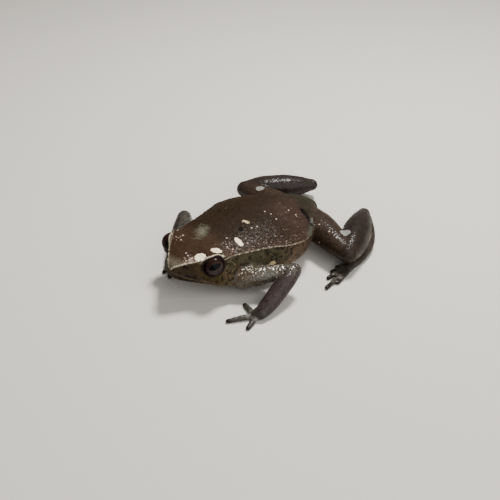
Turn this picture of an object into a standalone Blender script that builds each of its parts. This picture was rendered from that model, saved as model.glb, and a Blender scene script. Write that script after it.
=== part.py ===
"""A black-spotted sticky frog as a still, life-size model, crouching on the floor.

The frog faces -Y with its left side at +X. Sizes below are in millimetres, in a frame
whose Z = 0 is the floor; the finished model is shifted so that the middle of its
footprint is the origin, and its meshes are in metres.
"""
import math

import bmesh
import bpy
import numpy as np
from mathutils import Matrix, Vector

MM = 0.001
GAP = 0.3
SHARP_EDGE = math.radians(38)

# Where the body is parted: the skin fold behind the ears, and the corner of the mouth.
NECK = -9.6
JAW_BACK = -11.2
SNOUT = -20.3
VENT = 21.3
# The torso's shape carries on this far inside the head where it clears the arms' roots.
GROWN_FRONT = -13.6
LIP_OVERHANG = 0.35
JAW_SETBACK = 0.5
RIDGE_OVERHANG = 0.35

# Each eye's place in the head as station, side and height, keyed 1 for left, -1 for right.
EYE_PLACES = {1: (-13.6, 5.6, 8.0), -1: (-13.5, 6.25, 7.75)}
EYE_RADIUS = 2.0
LID_RADII = (2.6, 2.75, 2.6)
BROW_HEIGHTS = {1: 10.2, -1: 10.4}
EYE_AXIS = (0.72, -0.52, 0.46)
EYE_OPENING = (1.95, 1.7)
# How wide the opening is, as a share of its size, at distances out from the eye's middle.
EYE_OPENING_SPREAD = ((0.4, 0.92), (6.0, 1.35))
LID_INSET = 0.1

NOSTRIL_STATION, NOSTRIL_HEIGHT, NOSTRIL_RADIUS = -18.5, 8.65, 0.36
EAR_STATION, EAR_HEIGHT, EAR_RADIUS, EAR_RIM = -11.1, 7.3, 1.05, 0.2

COLOURS = {
    "back": ((0.065, 0.030, 0.021), 0.42),
    "jaw": ((0.070, 0.058, 0.034), 0.40),
    "limb": ((0.050, 0.029, 0.026), 0.33),
    "foot": ((0.060, 0.052, 0.045), 0.38),
    "eye": ((0.012, 0.009, 0.010), 0.06),
}


def smooth(keys):
    """A curve through (place, value) pairs, smooth and without overshoot."""
    xs = np.array([key[0] for key in keys], float)
    ys = np.array([key[1:] for key in keys], float)
    steps = np.diff(xs)[:, None]
    slopes = np.diff(ys, axis=0) / steps
    tangents = np.zeros_like(ys)
    tangents[0] = slopes[0]
    tangents[-1] = slopes[-1]
    for i in range(1, len(xs) - 1):
        before, after = slopes[i - 1], slopes[i]
        same = before * after > 0
        total = np.where(same, before + after, 1.0)
        tangents[i] = np.where(same, 2 * before * after / total, 0.0)

    def curve(x):
        x = min(max(x, xs[0]), xs[-1])
        i = min(int(np.searchsorted(xs, x, side="right")) - 1, len(xs) - 2)
        h = xs[i + 1] - xs[i]
        t = (x - xs[i]) / h
        value = (
            ys[i] * (1 + 2 * t) * (1 - t) ** 2
            + tangents[i] * h * t * (1 - t) ** 2
            + ys[i + 1] * t * t * (3 - 2 * t)
            + tangents[i + 1] * h * t * t * (t - 1)
        )
        return float(value[0]) if len(value) == 1 else value

    return curve


# The body by station along Y. The ridge is the skin fold that runs from the snout over
# the eye to the groin; on the head it is the brow. The flank is the widest line below it,
# on the head the lip.
SPINE_SHIFT = smooth([(-20.5, 1.6), (-17, 0.85), (-14, 0.35), (-11, 0.2), (-8, 0), (0, -0.05),
                      (10, 0), (21, 0)])
RIDGE_SIDE = smooth([(-20.3, 0.35), (-20.1, 0.8), (-19.3, 1.55), (-18, 2.5), (-16.8, 3.5),
                     (-16, 4.1), (-15, 4.8), (-14, 5.6), (-13.4, 6.2), (-12.9, 6.75),
                     (-12.5, 7.05), (-11.2, 7.15), (-8, 7.85), (-5, 8.65), (-1, 9.9),
                     (3, 11.25), (6, 11.4), (9, 10.5), (12, 8.3), (15, 6.0), (18, 3.8),
                     (20, 2.2), (21.3, 0.8)])
RIDGE_HEIGHT = smooth([(-20.3, 8.5), (-20.05, 8.95), (-19.6, 9.05), (-18, 9.2), (-16.9, 9.3),
                       (-15.8, 9.45), (-14.7, 9.8), (-13.9, 10.15), (-13.4, 10.3),
                       (-12.95, 10.15), (-12.5, 9.4), (-11.2, 9.2), (-8, 9.1), (-5, 8.85),
                       (-1, 8.5), (3, 7.9), (6.5, 7.4), (11, 6.8), (18, 6.0), (21.3, 5.2)])
BACK_HEIGHT = smooth([(-20.3, 8.55), (-20.05, 9.05), (-19.5, 9.25), (-18, 9.6), (-15, 10.15),
                      (-13, 10.45), (-11, 10.65), (-5, 11.0), (2, 11.35), (8, 11.1),
                      (12, 10.5), (16, 9.2), (19, 7.6), (21.3, 5.8)])
FLANK_SIDE = smooth([(-20.3, 0.5), (-20.1, 1.0), (-19, 2.5), (-17, 4.5), (-15, 6.3),
                     (-13, 7.7), (-11, 8.45), (-8.6, 8.3), (-5, 8.9), (0, 10.1), (5, 10.6),
                     (9, 9.7), (13, 7.4), (17, 4.7), (20, 2.6), (21.3, 0.9)])
FLANK_HEIGHT = smooth([(-20.3, 7.6), (-19, 6.5), (-17, 5.4), (-14, 4.3), (-11, 3.7),
                       (-4, 3.9), (8, 4.3), (15, 4.4), (21.3, 4.8)])
BELLY_HEIGHT = smooth([(-20.3, 7.1), (-19.8, 5.9), (-18, 4.5), (-15, 3.1), (-11, 2.1),
                       (-6, 1.3), (-2, 0.6), (2, 0.0), (6, -0.25), (12, -0.2), (16, 0.5),
                       (19, 2.0), (21.3, 4.0)])
FLANK_BULGE = smooth([(-20.3, 0), (-18, -0.2), (-15.5, -0.1), (-11.5, 0.3), (-8, 0.3),
                      (0, 0.5), (8, 0.35), (21.3, 0.1)])
# The head is held a little askew: how far the right brow stands higher, by station, and
# the share of that by side and by height.
BROW_RAISE = smooth([(-17, 0), (-13.2, 0.45), (-9.6, 0)])
BROW_BY_SIDE = smooth([(2, 0), (6, 1)])
BROW_BY_HEIGHT = smooth([(5, 0), (9, 1)])
BACK_ARCH = 1.95
BELLY_SQUARE = 2.3
FLANK_CROWDING = 1.5
BACK_STEPS, FLANK_STEPS, BELLY_STEPS = 6, 4, 6

# Limbs: joints as (x, y, z).
ARMS = {
    "left": {
        "shoulder": (8.3, -7.9, 3.75),
        "elbow": (15.1, -0.6, 5.4),
        "wrist": (16.5, -9.8, 1.5),
        "palm": (16.1, -11.5, 0.95),
        "fingers": [
            ((14.9, -9.8, 0.75), (13.5, -7.4, 0.5)),
            ((14.6, -11.2, 0.6), (11.8, -10.6, 0.42)),
            ((15.2, -12.3, 0.6), (13.2, -16.3, 0.4)),
            ((16.4, -12.3, 0.6), (17.3, -14.9, 0.4)),
        ],
    },
    "right": {
        "shoulder": (-8.6, -7.8, 3.85),
        "elbow": (-15.4, -3.4, 5.0),
        "wrist": (-8.9, -11.9, 1.5),
        "palm": (-7.9, -13.3, 0.9),
        "fingers": [
            ((-7.0, -12.4, 0.75), (-5.2, -11.4, 0.5)),
            ((-6.8, -13.3, 0.6), (-4.7, -13.4, 0.42)),
            ((-7.1, -13.9, 0.6), (-5.4, -15.6, 0.4)),
            ((-7.8, -14.0, 0.6), (-7.6, -15.4, 0.4)),
        ],
    },
}
LEGS = {
    "left": {
        "hip": (3.0, 16.4, 5.0),
        "knee": (17.2, 13.1, 4.1),
        "heel": (9.2, 27.6, 3.8),
        "sole": [(9.6, 27.9, 2.9), (12.6, 25.3, 2.1), (15.4, 21.6, 1.4), (16.9, 17.2, 0.95),
                 (17.3, 13.8, 0.65)],
    },
    "right": {
        "hip": (-3.0, 16.6, 3.7),
        "knee": (-17.0, 16.2, 3.6),
        "heel": (-7.7, 28.7, 3.8),
        "sole": [(-8.4, 29.6, 2.9), (-11.9, 27.8, 2.2), (-15.3, 24.5, 1.5),
                 (-17.0, 20.2, 0.95), (-17.4, 16.7, 0.65)],
    },
}
# Toes I to V from the ball of the foot: root and tip as (outward, forward).
TOES = [
    ((-0.7, -0.2), (-1.7, 1.9)),
    ((-0.5, 0.1), (-1.3, 4.0)),
    ((-0.2, 0.2), (-0.4, 6.0)),
    ((0.2, 0.2), (1.6, 8.7)),
    ((0.6, 0.0), (2.0, 5.9)),
]
TOE_ROOT_HEIGHT, TOE_HEIGHT = 0.6, 0.4

# Half widths along each limb, by share of its length, and how much flatter it is high.
PALM_GIRTH = smooth([(0, 1.4), (0.5, 1.6), (1, 1.25)])
DIGIT_GIRTH = smooth([(0, 0.62), (0.65, 0.5), (1, 0.5)])
UPPER_ARM_GIRTH = smooth([(0, 2.4), (0.35, 2.1), (0.7, 1.7), (1, 1.6)])
FOREARM_GIRTH = smooth([(0, 1.6), (0.35, 1.8), (0.75, 1.7), (1, 1.45)])
THIGH_GIRTH = smooth([(0, 3.0), (0.3, 3.5), (0.6, 3.1), (1, 2.1)])
SHANK_GIRTH = smooth([(0, 2.1), (0.3, 3.0), (0.55, 3.0), (0.8, 2.4), (1, 1.45)])
SOLE_GIRTH = smooth([(0, 1.3), (0.4, 1.45), (0.75, 1.35), (1, 1.1)])
ARM_FLATNESS, PALM_FLATNESS, DIGIT_FLATNESS = 0.94, 0.75, 0.9
THIGH_FLATNESS, SHANK_FLATNESS, SOLE_FLATNESS = 0.83, 0.92, 0.8


def place(station, side, height):
    """A body point from its station along the bent spine, its side and its height."""
    reach = 0.5
    slope = (SPINE_SHIFT(station + reach) - SPINE_SHIFT(station - reach)) / (2 * reach)
    turn = math.atan(-slope)
    x = SPINE_SHIFT(station) + side * math.cos(turn)
    y = station + side * math.sin(turn)
    return Vector((x, y, height))


def half_section(station, grow=0.0):
    """Half the body's outline at a station, from the back's middle to the belly's."""
    ridge = RIDGE_SIDE(station) + grow
    ridge_z = RIDGE_HEIGHT(station)
    flank = FLANK_SIDE(station) + grow
    flank_z = FLANK_HEIGHT(station)
    top = BACK_HEIGHT(station) + grow
    bottom = BELLY_HEIGHT(station) - grow
    bulge = FLANK_BULGE(station)
    points = []
    for i in range(BACK_STEPS):
        s = i / BACK_STEPS
        points.append((ridge * s, top - (top - ridge_z) * s ** BACK_ARCH))
    points.append((ridge, ridge_z))
    under = ridge - RIDGE_OVERHANG
    for i in range(1, FLANK_STEPS):
        t = (i / FLANK_STEPS) ** FLANK_CROWDING
        side = under + (flank - under) * t + bulge * 4 * t * (1 - t)
        points.append((side, ridge_z + (flank_z - ridge_z) * t))
    for i in range(BELLY_STEPS + 1):
        angle = i / BELLY_STEPS * math.pi / 2
        side = flank * max(math.cos(angle), 0.0) ** (2 / BELLY_SQUARE)
        height = flank_z - (flank_z - bottom) * math.sin(angle) ** (2 / BELLY_SQUARE)
        points.append((side, height))
    floor = -grow
    return [(side, max(height, floor)) for side, height in points]


def flank_side(station, height):
    """How far the flank or cheek stands out at a height between ridge and lip."""
    ridge_z, flank_z = RIDGE_HEIGHT(station), FLANK_HEIGHT(station)
    t = (ridge_z - height) / (ridge_z - flank_z)
    under = RIDGE_SIDE(station) - RIDGE_OVERHANG
    straight = under + (FLANK_SIDE(station) - under) * t
    return straight + FLANK_BULGE(station) * 4 * t * (1 - t)


def new_object(name, mesh_builder):
    """An object of this name from a bmesh filled by the builder, in metres."""
    bm = bmesh.new()
    mesh_builder(bm)
    bmesh.ops.recalc_face_normals(bm, faces=bm.faces)
    bmesh.ops.scale(bm, vec=(MM, MM, MM), verts=bm.verts)
    mesh = bpy.data.meshes.new(name)
    bm.to_mesh(mesh)
    bm.free()
    obj = bpy.data.objects.new(name, mesh)
    bpy.context.scene.collection.objects.link(obj)
    return obj


def loft(bm, rings):
    """Closed skin over rings of equal count, with a flat or pointed cap at each end."""
    rows = []
    for ring in rings:
        rows.append([bm.verts.new(point) for point in ring])
    for row, after in zip(rows, rows[1:]):
        if len(row) == 1 or len(after) == 1:
            tip, ring = (row[0], after) if len(row) == 1 else (after[0], row)
            for i in range(len(ring)):
                bm.faces.new((tip, ring[i], ring[(i + 1) % len(ring)]))
            continue
        for i in range(len(row)):
            j = (i + 1) % len(row)
            bm.faces.new((row[i], row[j], after[j], after[i]))
    for row in (rows[0], rows[-1]):
        if len(row) > 2:
            bm.faces.new(row)


def body_length(name, first, last, steps, grow=0.0):
    """The length of the body between two stations as one closed piece."""
    rings = []
    for i in range(steps + 1):
        station = first + (last - first) * i / steps
        half = half_section(station, grow)
        left = [place(station, side, height) for side, height in half]
        right = []
        for side, height in half[1:-1]:
            raised = BROW_RAISE(station) * BROW_BY_SIDE(side) * BROW_BY_HEIGHT(height)
            right.append(place(station, -side, height + raised))
        rings.append(left + right[::-1])
    return new_object(name, lambda bm: loft(bm, rings))


def tube_rings(path, girth, flatness, steps, sides):
    """Rings of a round-ended limb along a smooth path through its points."""
    points = [Vector(point) for point in path]
    lengths = [0.0]
    for before, after in zip(points, points[1:]):
        lengths.append(lengths[-1] + (after - before).length)
    route = smooth([(length / lengths[-1], *point) for length, point in zip(lengths, points)])
    step = 0.02

    def centre(t):
        return Vector(route(t))

    def ring(t, shift, shrink):
        a = max(t - step, 0.0)
        b = min(t + step, 1.0)
        along = (centre(b) - centre(a)).normalized()
        across = along.cross(Vector((0, 0, 1))).normalized()
        up = across.cross(along)
        radius = girth(t)
        middle = centre(t) + along * shift * radius
        points = []
        for k in range(sides):
            angle = 2 * math.pi * k / sides
            wide = across * math.cos(angle)
            high = up * math.sin(angle) * flatness
            points.append(middle + (wide + high) * radius * shrink)
        return points

    caps = [math.radians(60), math.radians(30)]
    rings = [[centre(0) - (centre(step) - centre(0)).normalized() * girth(0)]]
    rings += [ring(0.0, -math.sin(a), math.cos(a)) for a in caps]
    rings += [ring(i / steps, 0.0, 1.0) for i in range(steps + 1)]
    rings += [ring(1.0, math.sin(a), math.cos(a)) for a in reversed(caps)]
    rings += [[centre(1) + (centre(1) - centre(1 - step)).normalized() * girth(1)]]
    return rings


def limb(name, path, girth, flatness=1.0, steps=6, sides=12):
    """A round-ended limb segment."""
    return new_object(name, lambda bm: loft(bm, tube_rings(path, girth, flatness, steps, sides)))


def ball(name, middle, radii, turn=None, segments=20, rows=12):
    """An ellipsoid with half axes along X, Y and Z, turned by a rotation matrix."""
    def build(bm):
        bmesh.ops.create_uvsphere(bm, u_segments=segments, v_segments=rows, radius=1.0)
        matrix = Matrix.Diagonal((*radii, 1.0))
        if turn is not None:
            matrix = turn.to_4x4() @ matrix
        matrix = Matrix.Translation(middle) @ matrix
        bmesh.ops.transform(bm, matrix=matrix, verts=bm.verts)
    return new_object(name, build)


def combine(obj, pieces, operation):
    """Joins, cuts or crosses an object with closed pieces, which are then removed."""
    group = bpy.data.collections.new("pieces")
    for piece in pieces:
        group.objects.link(piece)
    modifier = obj.modifiers.new("combine", "BOOLEAN")
    modifier.operation = operation
    modifier.operand_type = "COLLECTION"
    modifier.collection = group
    modifier.solver = "EXACT"
    bpy.context.view_layer.update()
    graph = bpy.context.evaluated_depsgraph_get()
    mesh = bpy.data.meshes.new_from_object(obj.evaluated_get(graph))
    mesh.name = obj.name
    obj.modifiers.clear()
    obj.data = mesh
    for piece in pieces:
        bpy.data.objects.remove(piece)
    bpy.data.collections.remove(group)
    keep_largest(obj)


def keep_largest(obj):
    """Drops every loose scrap and keeps the largest closed surface."""
    bm = bmesh.new()
    bm.from_mesh(obj.data)
    unseen = set(bm.faces)
    groups = []
    while unseen:
        group = {unseen.pop()}
        waiting = list(group)
        while waiting:
            face = waiting.pop()
            for edge in face.edges:
                for other in edge.link_faces:
                    if other in unseen:
                        unseen.remove(other)
                        group.add(other)
                        waiting.append(other)
        groups.append(group)
    groups.sort(key=lambda group: sum(face.calc_area() for face in group))
    scraps = [face for group in groups[:-1] for face in group]
    bmesh.ops.delete(bm, geom=scraps, context="FACES")
    bm.to_mesh(obj.data)
    bm.free()


def trim(obj, point, outward):
    """Cuts off what lies beyond a plane through the point and caps the cut."""
    bm = bmesh.new()
    bm.from_mesh(obj.data)
    geometry = list(bm.verts) + list(bm.edges) + list(bm.faces)
    result = bmesh.ops.bisect_plane(
        bm, geom=geometry, dist=1e-7, plane_co=Vector(point) * MM,
        plane_no=Vector(outward).normalized(), clear_outer=True,
    )
    cut = [item for item in result["geom_cut"] if isinstance(item, bmesh.types.BMEdge)]
    bmesh.ops.edgenet_fill(bm, edges=cut)
    bmesh.ops.recalc_face_normals(bm, faces=bm.faces)
    bm.to_mesh(obj.data)
    bm.free()


def part_at_joint(first, second, joint, first_end, second_end):
    """Parts two limb segments at the plane that halves the angle between them."""
    joint = Vector(joint)
    towards_first = (Vector(first_end) - joint).normalized()
    towards_second = (Vector(second_end) - joint).normalized()
    normal = (towards_second - towards_first).normalized()
    trim(first, joint - normal * GAP / 2, normal)
    trim(second, joint + normal * GAP / 2, -normal)


def rest_on_floor(obj):
    """Takes off what would lie below the floor, which leaves a small flat."""
    trim(obj, (0, 0, 0), (0, 0, -1))


def finish(obj, colour):
    """Gives an object its material and smooth shading with crisp edges."""
    if colour not in bpy.data.materials:
        rgb, roughness = COLOURS[colour]
        material = bpy.data.materials.new(colour)
        material.use_nodes = True
        shader = material.node_tree.nodes["Principled BSDF"]
        shader.inputs["Base Color"].default_value = (*rgb, 1.0)
        shader.inputs["Roughness"].default_value = roughness
        shader.inputs["Metallic"].default_value = 0.0
    obj.data.materials.clear()
    obj.data.materials.append(bpy.data.materials[colour])
    obj.data.shade_smooth()
    obj.data.set_sharp_from_angle(angle=SHARP_EDGE)


def eye_frame(mirror):
    """The middle of an eye and the rotation that points local Z along its axis."""
    station, side, height = EYE_PLACES[mirror]
    middle = place(station, mirror * side, height)
    ahead = place(station, 0, 0) - place(station + 1, 0, 0)
    heading = math.atan2(-ahead.x, -ahead.y)
    axis = Vector((mirror * EYE_AXIS[0], EYE_AXIS[1], EYE_AXIS[2])).normalized()
    axis = Matrix.Rotation(-heading, 3, "Z") @ axis
    across = Vector((0, 0, 1)).cross(axis).normalized()
    up = axis.cross(across)
    return middle, Matrix((across, up, axis)).transposed()


def eye_opening(mirror):
    """A round-sided cutter that opens the lids in front of the eye."""
    middle, turn = eye_frame(mirror)
    sides = 24

    def build(bm):
        rings = []
        for distance, spread in EYE_OPENING_SPREAD:
            ring = []
            for k in range(sides):
                angle = 2 * math.pi * k / sides
                wide = EYE_OPENING[0] * spread * math.cos(angle)
                high = EYE_OPENING[1] * spread * math.sin(angle)
                ring.append(middle + turn @ Vector((wide, high, distance)))
            rings.append(ring)
        loft(bm, rings)

    return new_object("eye_opening", build)


def mouth_block(back, drop):
    """A block below the line of the mouth, whose top lies a little under the lip."""
    rings = []
    steps = 14
    wide, low, ahead = 14.0, -4.0, 2.0
    front = SNOUT - ahead
    for i in range(steps + 1):
        station = front + (back - front) * i / steps
        top = FLANK_HEIGHT(max(station, SNOUT)) - drop
        ring = [place(station, wide, top), place(station, wide, low),
                place(station, -wide, low), place(station, -wide, top)]
        rings.append(ring)
    return new_object("mouth_block", lambda bm: loft(bm, rings))


def ear_rim(mirror):
    """The low ring round an eardrum, lying on the cheek."""
    side = flank_side(EAR_STATION, EAR_HEIGHT)
    middle = place(EAR_STATION, mirror * side, EAR_HEIGHT)
    below = place(EAR_STATION, mirror * flank_side(EAR_STATION, EAR_HEIGHT - 1), EAR_HEIGHT - 1)
    behind_side = flank_side(EAR_STATION + 1, EAR_HEIGHT)
    behind = place(EAR_STATION + 1, mirror * behind_side, EAR_HEIGHT)
    down = (below - middle).normalized()
    back = (behind - middle).normalized()
    out = back.cross(down).normalized()
    if out.x * mirror < 0:
        out = -out
    across = out.cross(down).normalized()
    around, tube_sides = 16, 5

    def build(bm):
        rows = []
        for i in range(around):
            angle = 2 * math.pi * i / around
            ray = across * math.cos(angle) + down * math.sin(angle)
            row = []
            for k in range(tube_sides):
                turn = 2 * math.pi * k / tube_sides
                reach = EAR_RADIUS + EAR_RIM * math.cos(turn)
                row.append(bm.verts.new(middle + ray * reach + out * EAR_RIM * math.sin(turn)))
            rows.append(row)
        for i in range(around):
            for k in range(tube_sides):
                after, nxt = rows[(i + 1) % around], (k + 1) % tube_sides
                bm.faces.new((rows[i][k], rows[i][nxt], after[nxt], after[k]))

    return new_object("ear_rim", build)


def make_head():
    """Head with lids, sockets, nostrils and ears, and the lower jaw under the mouth."""
    head = body_length("head", SNOUT, NECK - GAP / 2, 16)
    additions = []
    cutters = []
    for mirror in (1, -1):
        middle, turn = eye_frame(mirror)
        lid_middle = middle - Vector((mirror * LID_INSET, 0, 0))
        lid = ball("lid", lid_middle, LID_RADII, segments=20, rows=12)
        trim(lid, (0, 0, BROW_HEIGHTS[mirror]), (0, 0, 1))
        additions.append(lid)
        additions.append(ear_rim(mirror))
        socket = EYE_RADIUS + GAP
        cutters.append(ball("socket", middle, (socket,) * 3, turn, segments=18, rows=10))
        cutters.append(eye_opening(mirror))
        side = flank_side(NOSTRIL_STATION, NOSTRIL_HEIGHT)
        nostril = place(NOSTRIL_STATION, mirror * side, NOSTRIL_HEIGHT)
        cutters.append(ball("nostril", nostril, (NOSTRIL_RADIUS,) * 3, segments=10, rows=6))
    cutters.append(mouth_block(JAW_BACK + GAP / 2, 0.0))
    combine(head, additions, "UNION")
    combine(head, cutters, "DIFFERENCE")
    finish(head, "back")

    jaw = body_length("lower_jaw", SNOUT + JAW_SETBACK, NECK, 14, -LIP_OVERHANG)
    combine(jaw, [mouth_block(JAW_BACK - GAP / 2, GAP)], "INTERSECT")
    finish(jaw, "jaw")

    for mirror, name in ((1, "eye_left"), (-1, "eye_right")):
        middle, turn = eye_frame(mirror)
        eye = ball(name, middle, (EYE_RADIUS,) * 3, turn, segments=18, rows=10)
        finish(eye, "eye")


def make_digits(name, sole, digits):
    """A palm or sole with its fingers or toes, resting on the floor."""
    pieces = []
    for root, tip in digits:
        middle = [(a + b) / 2 for a, b in zip(root, tip)]
        pieces.append(limb("digit", [root, middle, tip], DIGIT_GIRTH, DIGIT_FLATNESS,
                           steps=4, sides=8))
    combine(sole, pieces, "UNION")
    sole.name = name
    sole.data.name = name


def away_from_torso(obj, grown):
    """Cuts the root of a limb to the torso's surface, a gap away."""
    cutter = grown.copy()
    cutter.data = grown.data.copy()
    bpy.context.scene.collection.objects.link(cutter)
    combine(obj, [cutter], "DIFFERENCE")


def make_arm(side, grown):
    """Upper arm, forearm and four-fingered hand."""
    arm = ARMS[side]
    upper = limb(f"upper_arm_{side}", [arm["shoulder"], arm["elbow"]], UPPER_ARM_GIRTH,
                 ARM_FLATNESS)
    fore = limb(f"forearm_{side}", [arm["elbow"], arm["wrist"]], FOREARM_GIRTH, ARM_FLATNESS)
    palm = limb("palm", [arm["wrist"], arm["palm"]], PALM_GIRTH, PALM_FLATNESS, steps=4)
    make_digits(f"hand_{side}", palm, arm["fingers"])
    part_at_joint(upper, fore, arm["elbow"], arm["shoulder"], arm["wrist"])
    part_at_joint(fore, palm, arm["wrist"], arm["elbow"], arm["palm"])
    rest_on_floor(palm)
    away_from_torso(upper, grown)
    finish(upper, "limb")
    finish(fore, "limb")
    finish(palm, "foot")


def make_leg(side, grown):
    """Thigh, shank and five-toed foot, folded up beside the body."""
    leg = LEGS[side]
    mirror = 1 if side == "left" else -1
    thigh = limb(f"thigh_{side}", [leg["hip"], leg["knee"]], THIGH_GIRTH, THIGH_FLATNESS,
                 steps=7, sides=16)
    shank = limb(f"shank_{side}", [leg["knee"], leg["heel"]], SHANK_GIRTH, SHANK_FLATNESS,
                 steps=8, sides=14)
    sole = limb("sole", leg["sole"], SOLE_GIRTH, SOLE_FLATNESS, steps=10)
    toe_root = Vector(leg["sole"][-1])
    toes = []
    for (out_a, ahead_a), (out_b, ahead_b) in TOES:
        root = (toe_root.x + mirror * out_a, toe_root.y - ahead_a, TOE_ROOT_HEIGHT)
        tip = (toe_root.x + mirror * out_b, toe_root.y - ahead_b, TOE_HEIGHT)
        toes.append((root, tip))
    make_digits(f"foot_{side}", sole, toes)
    part_at_joint(thigh, shank, leg["knee"], leg["hip"], leg["heel"])
    pressed = limb("pressed", [leg["knee"], leg["heel"]], lambda t: SHANK_GIRTH(t) + GAP,
                   SHANK_FLATNESS, steps=8, sides=14)
    combine(sole, [pressed], "DIFFERENCE")
    rest_on_floor(sole)
    away_from_torso(thigh, grown)
    finish(thigh, "limb")
    finish(shank, "limb")
    finish(sole, "foot")


def centre_on_footprint():
    """Shifts every mesh so that the middle of the model's footprint is the origin."""
    corners = []
    for obj in bpy.data.objects:
        corners += [vertex.co.copy() for vertex in obj.data.vertices]
    low = [min(corner[i] for corner in corners) for i in range(3)]
    high = [max(corner[i] for corner in corners) for i in range(3)]
    shift = Vector((-(low[0] + high[0]) / 2, -(low[1] + high[1]) / 2, -low[2]))
    for obj in bpy.data.objects:
        obj.data.transform(Matrix.Translation(shift))


def main():
    for obj in list(bpy.data.objects):
        bpy.data.objects.remove(obj)
    torso = body_length("torso", NECK + GAP / 2, VENT, 24)
    finish(torso, "back")
    make_head()
    grown = body_length("grown_torso", GROWN_FRONT, VENT + GAP, 27, GAP)
    for side in ("left", "right"):
        make_arm(side, grown)
        make_leg(side, grown)
    bpy.data.objects.remove(grown)
    centre_on_footprint()


main()
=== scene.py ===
"""The looks of a black-spotted sticky frog: one granular skin over the body, and its eyes.

Shapes are worked out in millimetres in the frog's own frame, where it faces -Y with its
left side at +X and the floor is Z = 0. They are moved into the model's frame at the end.
"""
import math

import bpy
import numpy as np
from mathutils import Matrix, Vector
from mathutils.bvhtree import BVHTree


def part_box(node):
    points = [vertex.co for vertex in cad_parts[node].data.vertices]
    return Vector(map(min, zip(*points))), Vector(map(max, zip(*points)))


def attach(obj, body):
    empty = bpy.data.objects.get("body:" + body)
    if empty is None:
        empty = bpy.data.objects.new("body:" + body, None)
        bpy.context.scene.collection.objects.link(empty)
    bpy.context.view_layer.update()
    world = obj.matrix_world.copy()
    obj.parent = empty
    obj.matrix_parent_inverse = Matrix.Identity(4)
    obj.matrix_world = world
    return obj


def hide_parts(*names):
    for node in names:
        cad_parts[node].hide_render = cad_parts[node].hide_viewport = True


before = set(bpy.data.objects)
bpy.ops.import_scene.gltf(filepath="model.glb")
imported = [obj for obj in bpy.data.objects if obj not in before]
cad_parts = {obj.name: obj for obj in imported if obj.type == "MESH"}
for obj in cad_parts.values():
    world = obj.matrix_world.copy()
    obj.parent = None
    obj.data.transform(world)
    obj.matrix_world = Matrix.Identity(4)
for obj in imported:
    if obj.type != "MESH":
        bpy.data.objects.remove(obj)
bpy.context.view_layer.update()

MM = 0.001
FLESH = [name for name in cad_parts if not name.startswith("eye_")]

# Spacing of the skin's mesh, and how finely each surface is sampled before they are fused.
SKIN_GRID = 0.11
TRUNK_RINGS, BACK_POINTS, FLANK_POINTS, BELLY_POINTS = 230, 30, 20, 26
LIMB_RINGS, LIMB_SIDES, DIGIT_RINGS, DIGIT_SIDES = 44, 36, 30, 20
LID_RINGS, LID_SIDES, EYE_RINGS, EYE_SIDES = 40, 48, 120, 128
PATH_STEPS = 60
# The left side and the right side, as signs of X, and a distance past every marking's reach.
SIDES = (1, -1)
FAR = 9.0
FLOOR_GAP = 0.012

# The trunk by station along Y, as in the solids.
SNOUT, JAW_BACK, VENT = -20.3, -11.2, 21.3
RIDGE_OVERHANG = 0.35

EYE_PLACES = {1: (-13.6, 5.6, 8.0), -1: (-13.5, 6.25, 7.75)}
EYE_RADIUS = 2.15
EYE_AXIS = (0.72, -0.52, 0.46)
# The clear bulge in front of each eyeball, its width in radians, and the gap round the ball.
EYE_BULGE, BULGE_WIDTH, EYE_GAP = 0.12, 0.75, 0.03
# The pupil's half sizes as shares of the eye's radius.
PUPIL_LENGTH, PUPIL_HEIGHT = 0.56, 0.25
LID_RADII, LID_INSET = (2.4, 2.5, 2.4), 0.1
BROW_HEIGHTS = {1: 10.2, -1: 10.4}
# The eyes' openings in degrees from their axes, and how far their rear corners are turned up.
OPEN_SIDE, OPEN_DOWN, OPEN_UP = 82.0, 47.0, 49.0
EYE_ROLL = math.radians(22)
LID_CLEARANCE, LID_BEAD = 0.05, 0.1
# How far skin is drawn to the lid's edge, how wide the lid rolls and how much less above, the
# folds below it, and how deep the skin behind its edge is tucked in.
LID_PULL, LID_WIDTH, LID_NARROWING = 0.07, 0.95, 0.6
LID_FOLD, LID_FOLD_SPACING, LID_TUCK = 0.16, 0.55, 0.5
# How far from an eye's middle, and how far round from its axis, its skin is shaped.
EYE_REACH, EYE_TURN = 4.2, math.radians(125)
BROW_LINE, BROW_LINE_WIDTH = 0.4, 0.13

EAR_STATION, EAR_HEIGHT, EAR_RADIUS = -11.1, 7.3, 1.05
# The fold of skin from behind the ear down to the arm, as stations and heights.
EAR_FOLD = [(-10.4, 8.3), (-9.3, 7.0), (-9.3, 5.6), (-10.2, 4.3), (-11.6, 3.4)]
NOSTRIL_STATION, NOSTRIL_HEIGHT, NOSTRIL_DEPTH = -18.5, 8.65, 0.34
LIP_HEIGHT, MOUTH_DEPTH, JAW_INSET = 0.07, 0.34, 0.22
# The pale fold along the back, and the beads on it.
FOLD_WIDTH, FOLD_HEIGHT, BEAD_HEIGHT, BEAD_SPACING = 0.26, 0.06, 0.06, 0.38
SLIT_DEPTH = 0.55


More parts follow.
